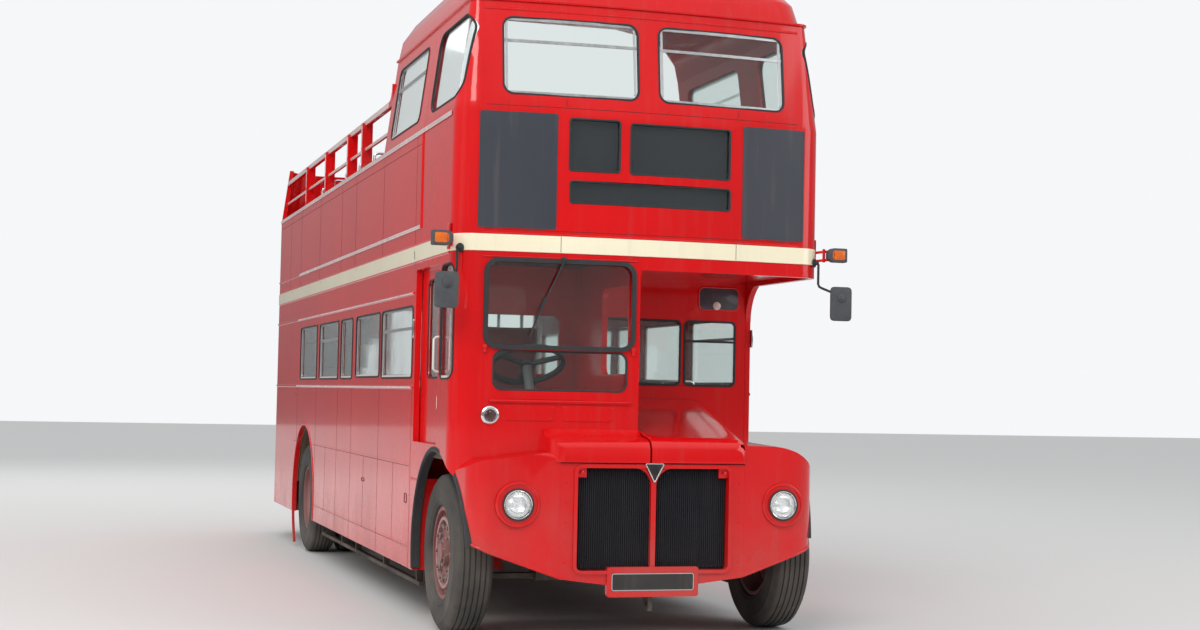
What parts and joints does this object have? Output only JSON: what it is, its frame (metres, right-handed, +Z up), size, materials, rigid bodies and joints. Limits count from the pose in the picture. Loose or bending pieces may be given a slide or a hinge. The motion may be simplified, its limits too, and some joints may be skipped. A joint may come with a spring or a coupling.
{
  "type": "double decker bus",
  "caption": "Half-cab double decker bus with a part open upper deck, rear platform, sliding cab door, lifting bonnet and steered front wheels.",
  "frame": {"origin": "on the ground under the middle of the bus, at the centre of its bounding box seen from above", "axes": "+Z up, front of the bus faces -Y, the driver's offside flank at -X and the kerb nearside flank at +X"},
  "size_m": [2.75, 9.114, 4.382],
  "materials": {
    "red_paint": "gloss bright red coachwork",
    "cream_paint": "gloss cream",
    "charcoal_board": "satin charcoal",
    "glass": "clear safety glass",
    "black_mesh": "satin black",
    "grey_paint": "satin dark grey",
    "lamp_glass": "clear ribbed lamp glass",
    "amber": "amber lens",
    "mirror_shell": "dark grey moulding",
    "plate": "black plate with a red surround",
    "rubber": "black",
    "tyre": "worn black",
    "wheel_paint": "dull brown red",
    "steel": "road-stained dark steel",
    "floor": "slatted floor",
    "seat_cloth": "woven seat cloth",
    "seat_cloth_upper": "dark red hide cloth",
    "chrome": "bright"
  },
  "bodies": {
    "body": {"arch_trims": "rubber", "bonnet_end": "red_paint", "cab_floor": "floor", "cab_inner_wall": "red_paint", "cab_shell": "red_paint", "canopy": "red_paint", "cream_band": "cream_paint", "deck_rails": "red_paint", "door_runner": "grey_paint", "driver_seat": "seat_cloth", "engine": "steel", "front_boards": "charcoal_board", "front_bulkhead": "red_paint", "front_roof": "red_paint", "front_subframe": "steel", "front_wing_nearside": "red_paint", "front_wing_offside": "red_paint", "gearbox": "steel", "grille_mesh": "black_mesh", "grille_panel": "red_paint", "headlamps": "lamp_glass", "indicators": "amber", "lower_floor": "floor", "lower_rear": "red_paint", "lower_seats": "seat_cloth", "lower_side_nearside": "red_paint", "lower_side_offside": "red_paint", "mirrors": "mirror_shell", "number_plate": "plate", "platform": "floor", "platform_pole": "chrome", "rear_axle": "steel", "seat_frames": "grey_paint", "staircase": "floor", "steering_column": "grey_paint", "underframe": "steel", "upper_floor": "floor", "upper_front": "red_paint", "upper_rear": "red_paint", "upper_seats": "seat_cloth_upper", "upper_side_nearside": "red_paint", "upper_side_offside": "red_paint", "wheel_boxes": "floor", "window_glass": "glass", "windscreen_frame": "rubber"},
    "steering_wheel": {"steering_wheel": "rubber"},
    "knuckle_offside": {"knuckle_offside": "steel"},
    "knuckle_nearside": {"knuckle_nearside": "steel"},
    "front_wheel_offside": {"front_wheel_offside": "wheel_paint", "front_tyre_offside": "tyre"},
    "front_wheel_nearside": {"front_wheel_nearside": "wheel_paint", "front_tyre_nearside": "tyre"},
    "rear_wheels_offside": {"rear_wheels_offside": "wheel_paint", "rear_tyres_offside": "tyre"},
    "rear_wheels_nearside": {"rear_wheels_nearside": "wheel_paint", "rear_tyres_nearside": "tyre"},
    "cab_door": {"cab_door": "red_paint", "cab_door_glass": "glass"},
    "bonnet": {"bonnet": "red_paint"}
  },
  "joints": [
    {"name": "steering", "type": "hinge", "parent": "body", "child": "steering_wheel", "pos_m": [-0.62, -3.777, 1.7], "axis": [0, 0.4695, 0.8829], "range_deg": [-600, 600]},
    {"name": "steer_offside", "type": "hinge", "parent": "body", "child": "knuckle_offside", "pos_m": [-0.905, -3.797, 0.5], "axis": [0, 0, 1], "range_deg": [-33, 33]},
    {"name": "steer_nearside", "type": "hinge", "parent": "body", "child": "knuckle_nearside", "pos_m": [0.905, -3.797, 0.5], "axis": [0, 0, 1], "range_deg": [-33, 33]},
    {"name": "roll_front_offside", "type": "hinge", "parent": "knuckle_offside", "child": "front_wheel_offside", "pos_m": [-1.05, -3.797, 0.5], "axis": [1, 0, 0], "continuous": true},
    {"name": "roll_front_nearside", "type": "hinge", "parent": "knuckle_nearside", "child": "front_wheel_nearside", "pos_m": [1.05, -3.797, 0.5], "axis": [1, 0, 0], "continuous": true},
    {"name": "roll_rear_offside", "type": "hinge", "parent": "body", "child": "rear_wheels_offside", "pos_m": [-0.92, 2.045, 0.5], "axis": [1, 0, 0], "continuous": true},
    {"name": "roll_rear_nearside", "type": "hinge", "parent": "body", "child": "rear_wheels_nearside", "pos_m": [0.92, 2.045, 0.5], "axis": [1, 0, 0], "continuous": true},
    {"name": "cab_door_slide", "type": "slide", "parent": "body", "child": "cab_door", "axis": [0, 1, 0], "range_m": [0, 0.6]},
    {"name": "bonnet_lift", "type": "hinge", "parent": "body", "child": "bonnet", "pos_m": [-0.02, -3.053, 1.5], "axis": [0, -0.9859, -0.1672], "range_deg": [0, 60]}
  ],
  "couplings": [
    {"joint": "steer_offside", "follows": "steering", "ratio": 0.05},
    {"joint": "steer_nearside", "follows": "steering", "ratio": 0.05}
  ]
}
